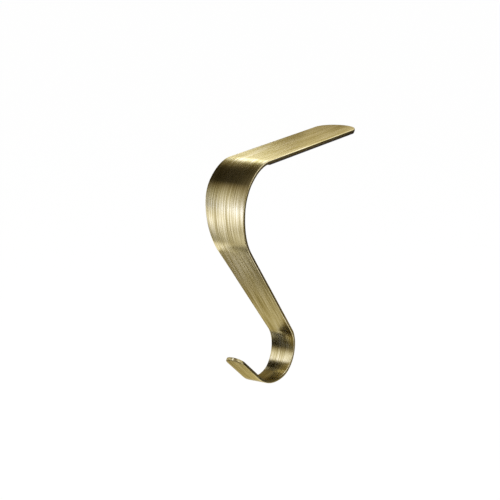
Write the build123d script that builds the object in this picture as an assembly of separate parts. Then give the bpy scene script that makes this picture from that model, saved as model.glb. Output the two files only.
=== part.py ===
from build123d import *
import os

os.makedirs("parts", exist_ok=True)

# Mantel stocking holder: one bent metal strip and the soft pad under its tongue.
# Millimetres. +Z is up and -Y is the front, where the belly and the hook stand out from the mantel.
# The origin is the middle of the tongue's length, on the pad's underside: the mantel's top is Z = 0.

# Strip stock, blanked from sheet: its edges are rounded on the outer face and broken on the other one
strip_thickness = 2.0
edge_round = 0.45
edge_break = 0.25

# Tongue: the flat stretch that lies on the mantel, with a full-round rear end
tongue_width = 25.0
tongue_length = 118.0

# Shoulder: eases off the tongue, then turns down over the mantel's edge, where the strip starts to
# narrow. Its radii and the belly's are taken on the strip's outer face.
shoulder_entry_radius = 32.5
shoulder_entry_turn = 41.0
shoulder_radius = 20.0
shoulder_turn = 47.0
shoulder_narrowing = 0.35

# Belly: the forward bulge, where the strip narrows most
belly_radius = 38.0
belly_turn = 44.0
belly_width = 20.1

# Shank: straight, slanting down and back under the mantel, tapering evenly
shank_length = 79.5
shank_foot_width = 15.6

# Hook: a tight bend that opens into a wider one, its radii taken on the face that carries the loop
hook_radius = 14.0
hook_turn = 123.0
hook_width = 13.4
hook_exit_radius = 33.0
hook_exit_turn = 47.5

# Lip: short, straight and rising, of even width, with a full-round end
lip_length = 27.5
lip_width = 11.0

# Pad: a soft sheet stuck under the tongue, from the start of the shoulder to the rear end
pad_thickness = 0.8
pad_edge_inset = 0.4
pad_corner_radius = 1.0


def straight_on(edge, length):
    """Straight stretch that carries on from an edge's end."""
    return Edge.make_line(edge @ 1, edge @ 1 + (edge % 1) * length)


def bend_on(edge, radius, turn):
    """Arc that carries on from an edge's end; a positive turn curls the way the shoulder does."""
    start = edge @ 1
    to_centre = (edge % 1).rotate(Axis.X, 90 if turn > 0 else -90) * radius
    centre = start + to_centre
    middle = centre - to_centre.rotate(Axis.X, turn / 2)
    end = centre - to_centre.rotate(Axis.X, turn)
    return Edge.make_three_point_arc(start, middle, end)


def section(edge, where, width):
    """Cross-section of the strip, hung from a point of the outer face's line."""
    square_to_strip = Plane(origin=edge @ where, x_dir=(1, 0, 0), z_dir=edge % where)
    outline = Rectangle(width, strip_thickness, align=(Align.CENTER, Align.MAX))
    outline = fillet(outline.vertices().group_by(Axis.Y)[-1], edge_round)
    outline = chamfer(outline.vertices().group_by(Axis.Y)[0], edge_break)
    return square_to_strip * outline


def full_round(edge, where, width):
    """Half disc that closes the strip, its rim like the strip's edges, turned about the end's middle."""
    square_to_strip = Plane(origin=edge @ where, x_dir=(1, 0, 0), z_dir=edge % where)
    one_side = Rectangle(width, 2 * strip_thickness, align=(Align.MIN, Align.CENTER))
    half_section = section(edge, where, width) & (square_to_strip * one_side)
    through_thickness = Axis(edge @ where, square_to_strip.y_dir)
    return revolve(half_section, through_thickness, 180 if where == 0 else -180)


# Side line of the strip's outer face, one edge per stretch, between the centres of the rounded ends
tongue_top = pad_thickness + strip_thickness
rear_centre = Vector(0, (tongue_length - tongue_width) / 2, tongue_top)
shoulder_start = Vector(0, -tongue_length / 2, tongue_top)
tongue = Edge.make_line(rear_centre, shoulder_start)
shoulder_entry = bend_on(tongue, shoulder_entry_radius, shoulder_entry_turn)
shoulder = bend_on(shoulder_entry, shoulder_radius, shoulder_turn)
belly = bend_on(shoulder, belly_radius, belly_turn)
shank = straight_on(belly, shank_length)
hook = bend_on(shank, hook_radius, -hook_turn)
hook_exit = bend_on(hook, hook_exit_radius, -hook_exit_turn)
lip = straight_on(hook_exit, lip_length - lip_width / 2)

# The strip has its full width to the start of the shoulder, narrows smoothly to the lip, and is even again
full_width_strip = sweep(section(tongue, 0, tongue_width), path=Wire([tongue, shoulder_entry]))
narrowing_strip = sweep(
    sections=[
        section(shoulder, 0, tongue_width),
        section(shoulder, 0.5, tongue_width - shoulder_narrowing),
        section(belly, 1, belly_width),
        section(shank, 0.5, (belly_width + shank_foot_width) / 2),
        section(shank, 1, shank_foot_width),
        section(hook, 1, hook_width),
        section(hook_exit, 1, lip_width),
    ],
    path=Wire([shoulder, belly, shank, hook, hook_exit]),
    multisection=True,
)
lip_strip = sweep(section(lip, 0, lip_width), path=lip)
rear_end = full_round(tongue, 0, tongue_width)
lip_end = full_round(lip, 1, lip_width)
hook_strip = rear_end + full_width_strip + narrowing_strip + lip_strip + lip_end

# Pad: follows the tongue's outline a little inside its edge, from the start of the shoulder
pad_width = tongue_width - 2 * pad_edge_inset
pad_straight = Location((0, -tongue_length / 2)) * Rectangle(
    pad_width, tongue_length - tongue_width / 2, align=(Align.CENTER, Align.MIN)
)
pad_straight = fillet(pad_straight.vertices().group_by(Axis.Y)[0], pad_corner_radius)
pad_plan = pad_straight + Location((0, rear_centre.Y)) * Circle(pad_width / 2)
grip_pad = extrude(pad_plan, amount=pad_thickness)

export_step(hook_strip, "parts/hook_strip.step")
export_step(grip_pad, "parts/grip_pad.step")
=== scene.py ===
"""Mantel stocking holder: a brushed antique brass strip bent to an S, with a dark rubber pad underneath.

Metres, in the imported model's frame: +Z is up, -Y is the front, and the mantel's top is Z = 0.
"""
import logging
import math
from dataclasses import dataclass
from enum import Enum
from typing import Any

import bmesh
import bpy
from mathutils import Matrix, Vector


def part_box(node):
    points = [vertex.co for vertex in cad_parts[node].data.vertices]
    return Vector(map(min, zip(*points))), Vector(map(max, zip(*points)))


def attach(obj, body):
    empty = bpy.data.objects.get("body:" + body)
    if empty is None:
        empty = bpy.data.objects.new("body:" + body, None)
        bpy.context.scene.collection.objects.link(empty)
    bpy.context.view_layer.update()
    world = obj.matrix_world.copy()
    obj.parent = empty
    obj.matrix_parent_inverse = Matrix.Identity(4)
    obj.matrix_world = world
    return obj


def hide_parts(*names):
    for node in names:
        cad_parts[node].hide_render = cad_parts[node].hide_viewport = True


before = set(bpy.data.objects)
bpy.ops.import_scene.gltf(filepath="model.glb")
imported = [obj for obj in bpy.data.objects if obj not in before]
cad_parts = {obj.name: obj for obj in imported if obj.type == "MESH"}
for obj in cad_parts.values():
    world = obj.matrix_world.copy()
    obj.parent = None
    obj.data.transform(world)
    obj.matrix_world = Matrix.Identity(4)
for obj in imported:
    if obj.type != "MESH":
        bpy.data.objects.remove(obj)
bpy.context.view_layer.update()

MM = 0.001
MERGE = 0.002 * MM
BRUSHED_UV = "brushed"
NOISE_RANGE = (0.3, 0.7)
NOISE_ROUGHNESS = 0.6

log = logging.getLogger("stocking_holder")


def linear(hex_colour: str) -> tuple[float, float, float, float]:
    """Turn an sRGB colour to linear light.

    Args:
        hex_colour: The colour as # and six hex digits.

    Returns:
        Red, green, blue and an alpha of one.
    """
    shares = [int(hex_colour[at:at + 2], 16) / 255 for at in (1, 3, 5)]
    red, green, blue = (s / 12.92 if s <= 0.04045 else ((s + 0.055) / 1.055) ** 2.4 for s in shares)
    return red, green, blue, 1.0


def per_metre(spacing_mm: float) -> float:
    """Give a texture scale, in repeats to a metre, for a pattern's real spacing in millimetres."""
    return 1 / (spacing_mm * MM)


def add_node(
    tree: bpy.types.NodeTree,
    kind: str,
    settings: dict[str | int, Any] | None = None,
    links: dict[str | int, bpy.types.NodeSocket] | None = None,
) -> bpy.types.Node:
    """Add a node with its settings and links.

    Args:
        tree: The node tree that it joins.
        kind: The node's type name.
        settings: Values by input name, input number or property name.
        links: Output sockets of other nodes, by input name or number.

    Returns:
        The new node.
    """
    node = tree.nodes.new(kind)
    for name, value in (settings or {}).items():
        if isinstance(name, int) or name in node.inputs:
            node.inputs[name].default_value = value
        else:
            setattr(node, name, value)
    for name, output in (links or {}).items():
        tree.links.new(output, node.inputs[name])
    return node


def new_material(name: str) -> tuple[bpy.types.Material, bpy.types.NodeTree]:
    """Make an empty node material.

    Args:
        name: The material's name.

    Returns:
        The material and its node tree.
    """
    material = bpy.data.materials.new(name)
    material.use_nodes = True
    material.node_tree.nodes.clear()
    return material, material.node_tree


def mesh_object(name: str, bm: bmesh.types.BMesh) -> bpy.types.Object:
    """Turn a bmesh into an object at the origin.

    Args:
        name: The object's name.
        bm: The finished mesh, which is freed.

    Returns:
        The new object, linked to the scene.
    """
    mesh = bpy.data.meshes.new(name)
    bm.to_mesh(mesh)
    bm.free()
    piece = bpy.data.objects.new(name, mesh)
    bpy.context.scene.collection.objects.link(piece)
    return piece


@dataclass(frozen=True)
class BrushedAntiqueBrass:
    """Antique brass: brass darkened, brushed back along the strip and lacquered satin.

    The eye gets fine lengthwise streaks of paler and darker brass, reflections that blur more one way than
    the other, as brushed metal's do, and a thin clear gloss on top.
    """

    worn: str = "#CCC197"
    worn_from: float = 0.62
    tinted: str = "#B3A673"
    tinted_at: float = 0.49
    patina: str = "#8B7C4B"
    patina_to: float = 0.35
    streak_mm: float = 0.55
    streak_length_mm: float = 38.0
    cloud_mm: float = 5.0
    cloud_length_mm: float = 55.0
    streak_share: float = 0.7
    hairline_mm: float = 0.45
    hairline_length_mm: float = 45.0
    hairline_depth_mm: float = 0.0008
    edge_tint: str = "#D8CBA0"
    roughness: tuple[float, float] = (0.25, 0.29)
    anisotropy: float = 0.5
    lacquer_weight: float = 0.08
    lacquer_roughness: float = 0.16

    def streaks(
        self, tree: bpy.types.NodeTree, across_mm: float, along_mm: float, detail: float
    ) -> bpy.types.NodeSocket:
        """Draw noise stretched along the strip.

        The real brush lines are about 0.1 mm apart, too fine to show, so they are drawn coarser.

        Args:
            tree: The material's node tree.
            across_mm: Spacing across the strip.
            along_mm: Length along the strip.
            detail: The noise's detail.

        Returns:
            The noise value.
        """
        uv = add_node(tree, "ShaderNodeUVMap", {"uv_map": BRUSHED_UV})
        scale = (per_metre(across_mm), per_metre(along_mm), 1.0)
        mapping = add_node(tree, "ShaderNodeMapping", {"Scale": scale}, {"Vector": uv.outputs["UV"]})
        settings = {
            "noise_dimensions": "2D", "Scale": 1.0, "Detail": detail, "Roughness": NOISE_ROUGHNESS,
        }
        noise = add_node(tree, "ShaderNodeTexNoise", settings, {"Vector": mapping.outputs["Vector"]})
        return noise.outputs["Fac"]

    def material(self) -> bpy.types.Material:
        """Build the finish.

        Returns:
            The material.
        """
        made, tree = new_material("brushed_antique_brass")
        streak = self.streaks(tree, self.streak_mm, self.streak_length_mm, 3.0)
        cloud = self.streaks(tree, self.cloud_mm, self.cloud_length_mm, 2.0)
        hairline = self.streaks(tree, self.hairline_mm, self.hairline_length_mm, 2.0)
        blend = add_node(
            tree, "ShaderNodeMix",
            {"data_type": "FLOAT", "Factor": self.streak_share}, {2: cloud, 3: streak},
        )
        ramp = add_node(tree, "ShaderNodeValToRGB", {}, {"Fac": blend.outputs[0]})
        stops = ramp.color_ramp.elements
        stops[0].position, stops[0].color = self.patina_to, linear(self.patina)
        stops[1].position, stops[1].color = self.worn_from, linear(self.worn)
        stops.new(self.tinted_at).color = linear(self.tinted)
        (begin, end), (worn, dull) = NOISE_RANGE, self.roughness
        rough = add_node(
            tree, "ShaderNodeMapRange",
            {"From Min": begin, "From Max": end, "To Min": dull, "To Max": worn}, {"Value": streak},
        )
        bump = add_node(
            tree, "ShaderNodeBump",
            {"Strength": 1.0, "Distance": self.hairline_depth_mm * MM}, {"Height": hairline},
        )
        tangent = add_node(tree, "ShaderNodeTangent", {"direction_type": "UV_MAP", "uv_map": BRUSHED_UV})
        shader = add_node(
            tree, "ShaderNodeBsdfPrincipled",
            {
                "Metallic": 1.0,
                "Specular Tint": linear(self.edge_tint),
                "Anisotropic": self.anisotropy,
                "Coat Weight": self.lacquer_weight,
                "Coat Roughness": self.lacquer_roughness,
            },
            {
                "Base Color": ramp.outputs["Color"],
                "Roughness": rough.outputs["Result"],
                "Normal": bump.outputs["Normal"],
                "Tangent": tangent.outputs["Tangent"],
            },
        )
        add_node(tree, "ShaderNodeOutputMaterial", {}, {"Surface": shader.outputs["BSDF"]})
        return made


@dataclass(frozen=True)
class MattRubber:
    """Moulded non-slip rubber sheet: near black, matt, with a fine even grain."""

    body: str = "#1D160B"
    bloom: str = "#2E2618"
    grain_mm: float = 0.7
    grain_depth_mm: float = 0.05
    grain_strength: float = 0.6
    body_to: float = 0.35
    bloom_from: float = 0.7
    roughness: float = 0.72
    gloss: float = 0.2

    def material(self) -> bpy.types.Material:
        """Build the finish.

        Returns:
            The material.
        """
        made, tree = new_material("matt_rubber")
        place = add_node(tree, "ShaderNodeTexCoord")
        settings = {"Scale": per_metre(self.grain_mm), "Detail": 3.0, "Roughness": NOISE_ROUGHNESS}
        grain = add_node(tree, "ShaderNodeTexNoise", settings, {"Vector": place.outputs["Object"]})
        ramp = add_node(tree, "ShaderNodeValToRGB", {}, {"Fac": grain.outputs["Fac"]})
        stops = ramp.color_ramp.elements
        stops[0].position, stops[0].color = self.body_to, linear(self.body)
        stops[1].position, stops[1].color = self.bloom_from, linear(self.bloom)
        bump = add_node(
            tree, "ShaderNodeBump",
            {"Strength": self.grain_strength, "Distance": self.grain_depth_mm * MM},
            {"Height": grain.outputs["Fac"]},
        )
        shader = add_node(
            tree, "ShaderNodeBsdfPrincipled",
            {"Roughness": self.roughness, "Specular IOR Level": self.gloss},
            {"Base Color": ramp.outputs["Color"], "Normal": bump.outputs["Normal"]},
        )
        add_node(tree, "ShaderNodeOutputMaterial", {}, {"Surface": shader.outputs["BSDF"]})
        return made


@dataclass(frozen=True)
class Stretch:
    """One straight or evenly bent stretch of the strip's side line.

    Attributes:
        length: Length along the outer face.
        turn: Turn in radians; a positive one curls down the way the shoulder does.
        steps: Rings of the mesh along it.
    """

    length: float
    turn: float
    steps: int

    @staticmethod
    def bend(radius_mm: float, turn_deg: float, step_deg: float) -> "Stretch":
        """Give the bend of a radius and a turn, with a ring about every so many degrees."""
        turn = math.radians(turn_deg)
        return Stretch(radius_mm * MM * abs(turn), turn, max(1, round(abs(turn_deg) / step_deg)))

    @staticmethod
    def straight(length: float, step: float) -> "Stretch":
        """Give a straight stretch with a ring about every step."""
        return Stretch(length, 0.0, max(1, round(length / step)))


class SideLine:
    """The side line of the strip's outer face, as a chain of stretches."""

    def __init__(self, start: Vector, stretches: list[Stretch]) -> None:
        """Chain the stretches.

        Args:
            start: Where the line starts, heading along -Y.
            stretches: The stretches in order.
        """
        self.parts: list[tuple[float, Stretch, Matrix]] = []
        here, reach = Matrix.Translation(start), 0.0
        for stretch in stretches:
            self.parts.append((reach, stretch, here))
            here = here @ self.onward(stretch, stretch.length)
            reach += stretch.length
        self.length = reach

    @staticmethod
    def onward(stretch: Stretch, run: float) -> Matrix:
        """Move along one stretch from its start.

        Args:
            stretch: The stretch.
            run: How far along it.

        Returns:
            The step, in the frame of the stretch's start.
        """
        if stretch.turn == 0:
            return Matrix.Translation((0, -run, 0))
        radius = stretch.length / stretch.turn
        centre = Vector((0, 0, -radius))
        swing = Matrix.Rotation(run / radius, 4, "X")
        return Matrix.Translation(centre) @ swing @ Matrix.Translation(-centre)

    def placement(self, reach: float) -> Matrix:
        """Give the place and heading of the outer face at a length along the line.

        Args:
            reach: Length from the start; before it and past the end the line carries on straight.

        Returns:
            The matrix that puts a flat section there.
        """
        if reach < 0:
            return self.parts[0][2] @ Matrix.Translation((0, -reach, 0))
        for begin, stretch, frame_there in reversed(self.parts):
            if reach >= begin:
                run = min(reach - begin, stretch.length)
                rest = reach - begin - run
                return frame_there @ self.onward(stretch, run) @ Matrix.Translation((0, -rest, 0))
        return self.parts[0][2]

    def reaches(self) -> list[float]:
        """List the lengths at which the strip's mesh has a ring."""
        found = [
            begin + stretch.length * step / stretch.steps
            for begin, stretch, _ in self.parts
            for step in range(stretch.steps)
        ]
        return found + [self.length]


class Face(Enum):
    """The sides of the strip, each with its own part of the brushed pattern."""

    OUTER = 0.0
    INNER = 0.1
    EDGE = 0.2


@dataclass
class HookStrip:
    """The bent strip: a flat blank that tapers, is brushed along its length and then bent.

    A bend is its radius on the outer face in millimetres, its turn in degrees, and the turn between two rings
    of the mesh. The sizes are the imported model's own.
    """

    thickness: float = 2.0 * MM
    edge_round: float = 0.45 * MM
    edge_break: float = 0.25 * MM
    tongue_length: float = 118.0 * MM
    tongue_top: float = 2.8 * MM
    shoulder_entry: tuple[float, float, float] = (32.5, 41.0, 1.5)
    shoulder: tuple[float, float, float] = (20.0, 47.0, 1.5)
    belly: tuple[float, float, float] = (38.0, 44.0, 1.2)
    shank_length: float = 79.5 * MM
    hook: tuple[float, float, float] = (14.0, -123.0, 2.0)
    hook_exit: tuple[float, float, float] = (33.0, -47.5, 1.5)
    lip_length: float = 27.5 * MM
    tongue_width: float = 25.0 * MM
    shoulder_narrowing: float = 0.35 * MM
    belly_width: float = 20.1 * MM
    shank_foot_width: float = 15.6 * MM
    hook_width: float = 13.4 * MM
    lip_width: float = 11.0 * MM
    crown: float = 0.15 * MM
    tongue_ring: float = 6.0 * MM
    shank_ring: float = 3.0 * MM
    lip_ring: float = 4.0 * MM
    round_steps: int = 40
    face_cuts: int = 9
    edge_segments: int = 5
    flat_above: float = 0.99
    uv_margin: float = 0.1

    def __post_init__(self) -> None:
        """Lay out the side line and the widths along it."""
        straight_tongue = self.tongue_length - self.tongue_width / 2
        straight_lip = self.lip_length - self.lip_width / 2
        stretches = [
            Stretch.straight(straight_tongue, self.tongue_ring),
            Stretch.bend(*self.shoulder_entry),
            Stretch.bend(*self.shoulder),
            Stretch.bend(*self.belly),
            Stretch.straight(self.shank_length, self.shank_ring),
            Stretch.bend(*self.hook),
            Stretch.bend(*self.hook_exit),
            Stretch.straight(straight_lip, self.lip_ring),
        ]
        start = Vector((0, (self.tongue_length - self.tongue_width) / 2, self.tongue_top))
        self.line = SideLine(start, stretches)
        begins = [begin for begin, _, _ in self.line.parts]
        shoulder, belly, shank, hook, hook_exit, lip = begins[2:]
        self.widths = [
            (shoulder, self.tongue_width),
            ((shoulder + belly) / 2, self.tongue_width - self.shoulder_narrowing),
            (shank, self.belly_width),
            ((shank + hook) / 2, (self.belly_width + self.shank_foot_width) / 2),
            (hook, self.shank_foot_width),
            (hook_exit, self.hook_width),
            (lip, self.lip_width),
        ]

    def width(self, reach: float) -> float:
        """Read the strip's width from a smooth curve through the known ones.

        Args:
            reach: Length along the side line.

        Returns:
            The width there.
        """
        knots = self.widths
        if reach <= knots[0][0]:
            return knots[0][1]
        for place in range(len(knots) - 1):
            (begin, first), (end, second) = knots[place], knots[place + 1]
            if reach < end:
                run = end - begin
                before = knots[place - 1] if place else (begin - run, first)
                after = (*knots, (end + run, 2 * second - first))[place + 2]
                leave = (second - before[1]) / (end - before[0]) * run
                arrive = (after[1] - first) / (after[0] - begin) * run
                t = (reach - begin) / run
                return (
                    (2 * t**3 - 3 * t**2 + 1) * first
                    + (t**3 - 2 * t**2 + t) * leave
                    + (3 * t**2 - 2 * t**3) * second
                    + (t**3 - t**2) * arrive
                )
        return knots[-1][1]

    def profile(self) -> bmesh.types.BMesh:
        """Draw the section of the flat blank at full width, its outer face at Z = 0.

        Returns:
            A closed line of edges whose outer corners are rounded and whose inner ones are broken.
        """
        bm = bmesh.new()
        middle = -self.thickness / 2
        upright = Matrix.Translation((0, 0, middle)) @ Matrix.Rotation(math.pi / 2, 4, "X")
        bmesh.ops.create_grid(bm, x_segments=1, y_segments=1, size=0.5, matrix=upright)
        bmesh.ops.scale(
            bm, vec=(self.tongue_width, 1, self.thickness), verts=bm.verts,
            space=Matrix.Translation((0, 0, -middle)),
        )
        outer, inner = (True, self.edge_round, self.edge_segments), (False, self.edge_break, 1)
        for top, offset, segments in (outer, inner):
            corners = [v for v in bm.verts if (v.co.z > middle) == top]
            bmesh.ops.bevel(
                bm, geom=corners, offset=offset, segments=segments, profile=0.5, affect="VERTICES",
                material=-1,
            )
        bmesh.ops.delete(bm, geom=list(bm.faces), context="FACES_ONLY")
        long_edges = [e for e in bm.edges if e.calc_length() > self.tongue_width / 2]
        bmesh.ops.subdivide_edges(bm, edges=long_edges, cuts=self.face_cuts)
        return bm

    def blank(self) -> bmesh.types.BMesh:
        """Draw the flat blank at full width: the section drawn out ring by ring, with half-disc ends.

        Returns:
            A closed mesh, -Y along the strip and the outer face at Z = 0.
        """
        bm = self.profile()
        reaches = self.line.reaches()
        ring = first_ring = list(bm.edges)
        for begin, end in zip(reaches, reaches[1:]):
            made = bmesh.ops.extrude_edge_only(bm, edges=ring)["geom"]
            fresh = {v for v in made if isinstance(v, bmesh.types.BMVert)}
            bmesh.ops.translate(bm, verts=list(fresh), vec=(0, begin - end, 0))
            ring = [e for e in made if isinstance(e, bmesh.types.BMEdge) and fresh.issuperset(e.verts)]
        for end_ring, centre, turn in ((first_ring, 0.0, math.pi), (ring, -self.line.length, -math.pi)):
            half = [e for e in end_ring if min(v.co.x for v in e.verts) > -MERGE]
            bmesh.ops.spin(
                bm, geom=half, cent=(0, centre, 0), axis=(0, 0, 1), angle=turn, steps=self.round_steps,
                use_merge=False, use_duplicate=False,
            )
        bmesh.ops.remove_doubles(bm, verts=bm.verts, dist=MERGE)
        bmesh.ops.recalc_face_normals(bm, faces=bm.faces)
        return bm

    def taper(self, bm: bmesh.types.BMesh) -> None:
        """Narrow the blank: its two halves move in, so its edges keep their form.

        Args:
            bm: The flat blank at full width.
        """
        for vert in bm.verts:
            middle = Vector((0, max(vert.co.y, -self.line.length), vert.co.z))
            arm = vert.co - middle
            if arm.length > 0:
                vert.co = middle + arm * (self.narrowed(arm.length, self.width(-vert.co.y)) / arm.length)

    def narrowed(self, side: float, width: float) -> float:
        """Say how far from the middle a point of the full-width blank comes to lie.

        Args:
            side: Its distance from the strip's middle or, in the lip's half disc, from the disc's.
            width: The strip's width there.

        Returns:
            The distance after narrowing; the rim keeps its form and the face between shrinks evenly.
        """
        moved = (self.tongue_width - width) / 2
        rim = self.tongue_width / 2 - self.edge_round
        return side - moved if side >= rim else side * (rim - moved) / rim

    def crown_face(self, bm: bmesh.types.BMesh) -> None:
        """Crown the outer face a little across its width, as polishing does; the inner face stays flat.

        Args:
            bm: The tapered flat blank.
        """
        for vert in bm.verts:
            past = max(0.0, vert.co.y, -vert.co.y - self.line.length)
            side = math.hypot(vert.co.x, past) / (self.width(-vert.co.y) / 2)
            depth = 1 + vert.co.z / self.thickness
            vert.co.z -= self.crown * side**2 * max(0.0, 2 * depth - 1)

    def brush(self, bm: bmesh.types.BMesh) -> None:
        """Unwrap the flat blank so that the pattern's V runs along the strip and its U across it.

        Args:
            bm: The tapered flat blank.
        """
        layer = bm.loops.layers.uv.new(BRUSHED_UV)
        for face in bm.faces:
            face.smooth = True
            if abs(face.normal.z) < self.flat_above:
                side = Face.EDGE
            else:
                side = Face.OUTER if face.normal.z > 0 else Face.INNER
            for loop in face.loops:
                place = loop.vert.co
                across = place.x
                if side is Face.EDGE:
                    across = math.copysign(abs(place.x) - place.z, face.calc_center_median().x)
                loop[layer].uv = (across + side.value, self.uv_margin - place.y)

    def bend(self, bm: bmesh.types.BMesh) -> None:
        """Bend the flat blank along the side line.

        Args:
            bm: The brushed blank.
        """
        for vert in bm.verts:
            vert.co = self.line.placement(-vert.co.y) @ Vector((vert.co.x, 0, vert.co.z))

    def build(self, finish: BrushedAntiqueBrass) -> bpy.types.Object:
        """Make the strip and dress it.

        Args:
            finish: Its finish.

        Returns:
            The piece.
        """
        bm = self.blank()
        self.taper(bm)
        self.crown_face(bm)
        self.brush(bm)
        self.bend(bm)
        bmesh.ops.recalc_face_normals(bm, faces=bm.faces)
        strip = mesh_object("brushed_strip", bm)
        strip.data.materials.append(finish.material())
        even = strip.modifiers.new("even_faces", "WEIGHTED_NORMAL")
        even.mode = "FACE_AREA"
        even.weight = 100
        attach(strip, "root")
        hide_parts("hook_strip")
        return strip


@dataclass
class GripPad:
    """The rubber pad under the tongue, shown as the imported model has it."""

    node: str = "grip_pad"

    def build(self, finish: MattRubber) -> bpy.types.Object:
        """Dress the pad.

        Args:
            finish: Its finish.

        Returns:
            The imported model's own object.
        """
        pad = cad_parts[self.node]
        material = finish.material()
        for place in pad.material_slots:
            place.material = material
        return pad


# Green and blue of the tents' light as shares of its red: almost out, at strength one, and what each further
# unit of strength adds
FELT_TINT = (0.80, 0.50)
WHITE_TINT = (0.985, 1.0)
COOLING = (0.0575, 0.39)


@dataclass(frozen=True)
class Panel:
    """One lengthwise panel of a light tent, graded from dark felt to a bright soft box.

    Attributes:
        name: What it is called.
        left: Where it starts across the holder.
        right: Where it ends.
        stops: Turn about the tent's axis, in degrees from the rear by way of the top, and strength there.
    """

    name: str
    left: float
    right: float
    stops: tuple[tuple[float, float], ...]

    def strength(self, turn: float) -> float:
        """Read the panel's strength at a turn, evenly graded from stop to stop.

        Args:
            turn: Turn about the tent's axis in degrees.

        Returns:
            The strength, where one is white.
        """
        (first, first_strength), (last, last_strength) = self.stops[0], self.stops[-1]
        ring = [(last - 360, last_strength), *self.stops, (first + 360, first_strength)]
        turn = (turn - ring[0][0]) % 360 + ring[0][0]
        for (begin, low), (end, high) in zip(ring, ring[1:]):
            if begin <= turn <= end:
                return low + (high - low) * (turn - begin) / (end - begin)
        return first_strength

    def glow(self, turn: float) -> tuple[float, float, float, float]:
        """Give the light's colour and strength at a turn: dark felt is warm, and a strong soft box is cool.

        Args:
            turn: Turn about the tent's axis in degrees.

        Returns:
            The colour in linear light, which may pass one.
        """
        strength = self.strength(turn)
        dim, bright = min(strength, 1.0), max(strength - 1.0, 0.0)
        green, blue = (
            felt + (white - felt) * dim + cooling * bright
            for felt, white, cooling in zip(FELT_TINT, WHITE_TINT, COOLING)
        )
        return strength, strength * green, strength * blue, 1.0


@dataclass(frozen=True)
class LightTent:
    """A curved light tent about the holder that the metal mirrors and the camera doesn't see.

    Attributes:
        axis: Its axis, which runs across the holder, as Y and Z.
        radius: Its radius.
        begin: The turn at which it begins, in degrees.
        end: The turn at which it ends.
        panels: Its panels, side by side.
        step: The turn between two rings of its mesh.
    """

    axis: tuple[float, float]
    radius: float
    begin: float
    end: float
    panels: tuple[Panel, ...]
    step: float = 2.5

    def build(self) -> None:
        """Put up every panel."""
        for panel in self.panels:
            self.hang(panel)
            log.info("studio: %s", panel.name)

    def hang(self, panel: Panel) -> None:
        """Put up one panel as a curved sheet.

        Args:
            panel: The panel.
        """
        bm = bmesh.new()
        rings = round((self.end - self.begin) / self.step)
        bmesh.ops.create_grid(bm, x_segments=rings, y_segments=1, size=0.5)
        layer = bm.verts.layers.float_color.new("glow")
        for vert in bm.verts:
            turn = self.begin + (self.end - self.begin) * (vert.co.x + 0.5)
            across = panel.left if vert.co.y < 0 else panel.right
            vert[layer] = panel.glow(turn)
            rear, rise = math.cos(math.radians(turn)), math.sin(math.radians(turn))
            vert.co = (across, self.axis[0] + self.radius * rear, self.axis[1] + self.radius * rise)
        made = mesh_object(panel.name, bm)
        material, tree = new_material(panel.name)
        glow = add_node(tree, "ShaderNodeAttribute", {"attribute_name": "glow"})
        tone = add_node(tree, "ShaderNodeEmission", {"Strength": 1.0}, {"Color": glow.outputs["Color"]})
        add_node(tree, "ShaderNodeOutputMaterial", {}, {"Surface": tone.outputs["Emission"]})
        made.data.materials.append(material)
        made.visible_camera = False
        made.visible_shadow = False
        made.visible_diffuse = False
        made.visible_transmission = False


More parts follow.
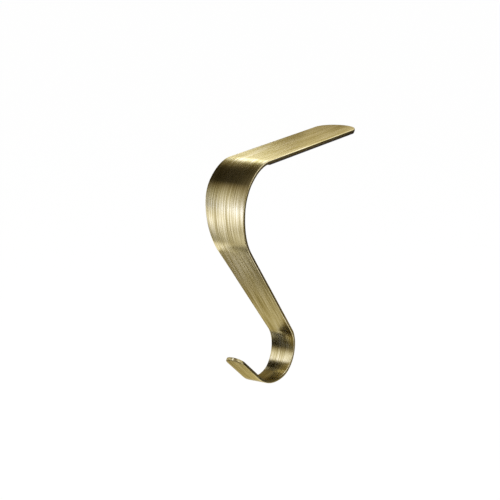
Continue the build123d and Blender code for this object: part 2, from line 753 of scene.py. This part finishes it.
@dataclass
class Studio:
    """Pale floor, white surroundings, a soft lamp, light tents and the camera."""

    aim: Vector
    floor_drop: float = 0.25
    floor_size: float = 6.0
    floor_paint: str = "#F8F8F7"
    floor_whiteness: float = 0.9
    lamp_place: tuple[float, float, float] = (0.05, -0.15, 0.9)
    lamp_size: float = 0.5
    lamp_power: float = 6.0
    azimuth: float = 27.86
    elevation: float = 14.03
    distance: float = 0.794
    focal_pixels: float = 1397.0
    frame_pixels: float = 500.0
    sensor_width: float = 36.0
    clip: tuple[float, float] = (0.01, 20.0)
    off_centre: tuple[float, float] = (25.8, 23.3)

    def floor(self) -> None:
        """Lay the pale floor well under the hook, because the holder hangs from a shelf that isn't shown."""
        bm = bmesh.new()
        low = Matrix.Translation((0, 0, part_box("hook_strip")[0].z - self.floor_drop))
        bmesh.ops.create_grid(bm, x_segments=1, y_segments=1, size=self.floor_size, matrix=low)
        made = mesh_object("pale_floor", bm)
        material, tree = new_material("pale_floor")
        paint = add_node(tree, "ShaderNodeBsdfDiffuse", {"Color": linear(self.floor_paint)})
        white = add_node(tree, "ShaderNodeEmission", {"Color": (1, 1, 1, 1), "Strength": 1.0})
        path = add_node(tree, "ShaderNodeLightPath")
        seen = add_node(
            tree, "ShaderNodeMath", {"operation": "MAXIMUM"},
            {0: path.outputs["Is Camera Ray"], 1: path.outputs["Is Glossy Ray"]},
        )
        seen_through = add_node(
            tree, "ShaderNodeMath", {"operation": "MAXIMUM"},
            {0: seen.outputs[0], 1: path.outputs["Is Transmission Ray"]},
        )
        share = add_node(
            tree, "ShaderNodeMath",
            {"operation": "MULTIPLY", 1: self.floor_whiteness}, {0: seen_through.outputs[0]},
        )
        both = add_node(
            tree, "ShaderNodeMixShader", {},
            {0: share.outputs[0], 1: paint.outputs["BSDF"], 2: white.outputs["Emission"]},
        )
        add_node(tree, "ShaderNodeOutputMaterial", {}, {"Surface": both.outputs["Shader"]})
        made.data.materials.append(material)

    def surroundings(self) -> None:
        """Make the world a plain white light all round."""
        world = bpy.data.worlds.new("white_studio")
        world.use_nodes = True
        tree = world.node_tree
        tree.nodes.clear()
        sky = add_node(tree, "ShaderNodeBackground", {"Color": (1, 1, 1, 1), "Strength": 1.0})
        add_node(tree, "ShaderNodeOutputWorld", {}, {"Surface": sky.outputs["Background"]})
        bpy.context.scene.world = world

    def overhead_lamp(self) -> None:
        """Put up the soft lamp that throws the floor's faint shadow; the metal mirrors the tents instead."""
        lamp = bpy.data.lights.new("overhead_lamp", "AREA")
        lamp.shape = "SQUARE"
        lamp.size = self.lamp_size
        lamp.energy = self.lamp_power
        made = bpy.data.objects.new("overhead_lamp", lamp)
        made.location = self.lamp_place
        made.visible_camera = False
        made.visible_glossy = False
        bpy.context.scene.collection.objects.link(made)

    def tents(self) -> list[LightTent]:
        """List the light tents that give the metal its bright and dark bands.

        Returns:
            The large one about the holder and the small one beside the hook.
        """
        around = LightTent(
            axis=(-0.015, -0.065), radius=0.15, begin=0, end=360,
            panels=(
                Panel("tent_far_left", -0.45, -0.085, (
                    (35, 0.1), (45, 2), (65, 0), (105, 0.05), (175, 1.7), (205, 0), (235, 0),
                    (245, 1.8), (265, 0), (285, 1),
                )),
                Panel("tent_left", -0.085, -0.050, (
                    (35, 0.3), (43, 0.8), (51, 4.3), (65, 4.3), (75, 0.7), (95, 0.05), (165, 0),
                    (185, 2.5), (235, 0.4), (255, 2.5), (265, 0.85), (305, 1.15),
                )),
                Panel("tent_beside", -0.050, -0.020, (
                    (25, 0), (55, 2.4), (75, 0.05), (125, 0), (170, 2.9), (195, 0.7),
                    (225, 2.1), (245, 0.75), (275, 1.2),
                )),
                Panel("tent_over", -0.020, 0.070, (
                    (22.5, 0), (52.5, 3.1), (97.5, 0.4), (165, 0.3), (185, 0.7), (205, 0.3), (232.5, 0),
                    (262.5, 1.8), (307.5, 0.55),
                )),
                Panel("tent_rim_light", 0.070, 0.120, (
                    (20, 0.1), (35, 2.8), (60, 2.5), (110, 2.5), (150, 1.2), (215, 0.5), (232.5, 0),
                    (262.5, 2.1), (292.5, 0),
                )),
                Panel("tent_right", 0.120, 0.45, (
                    (20, 0.1), (35, 1.6), (65, 1.6), (90, 0.6), (125, 0.6), (165, 1.2), (185, 2),
                    (205, 1), (232.5, 0), (262.5, 2.1), (292.5, 0),
                )),
            ),
        )
        beside_hook = LightTent(
            axis=(-0.022, -0.117), radius=0.075, begin=-40, end=260,
            panels=(
                Panel("tent_hook", -0.058, -0.020, (
                    (45, 0.4), (55, 0), (115, 0), (125, 2.6), (185, 0), (255, 0),
                )),
            ),
        )
        return [around, beside_hook]

    def camera(self) -> None:
        """Put up the camera at the photograph's viewing angle."""
        across, up = math.radians(self.azimuth), math.radians(self.elevation)
        back = Vector((math.sin(across) * math.cos(up), -math.cos(across) * math.cos(up), math.sin(up)))
        right, rise = self.off_centre
        sight = Vector((right / self.focal_pixels, rise / self.focal_pixels, -1)).normalized()
        level = (-back).to_track_quat("-Z", "Y")
        swing = sight.rotation_difference(Vector((0, 0, -1)))
        lens = bpy.data.cameras.new("camera")
        lens.sensor_width = self.sensor_width
        lens.lens = lens.sensor_width * self.focal_pixels / self.frame_pixels
        lens.clip_start, lens.clip_end = self.clip
        made = bpy.data.objects.new("camera", lens)
        heading = (level @ swing).to_matrix().to_4x4()
        made.matrix_world = Matrix.Translation(self.aim + back * self.distance) @ heading
        bpy.context.scene.collection.objects.link(made)
        bpy.context.scene.camera = made

    def build(self) -> None:
        """Set up the whole studio."""
        self.camera()
        self.surroundings()
        self.floor()
        self.overhead_lamp()
        for tent in self.tents():
            tent.build()
        bpy.context.scene.view_settings.view_transform = "Standard"


def main() -> None:
    """Build the holder's pieces and the studio in order."""
    logging.basicConfig(level=logging.INFO, format="%(name)s %(message)s")
    Studio(aim=Vector((0, -0.029, -0.0422))).build()
    for piece in (HookStrip().build(BrushedAntiqueBrass()), GripPad().build(MattRubber())):
        log.info("piece: %s, %d faces", piece.name, len(piece.data.polygons))


if __name__ == "__main__":
    main()
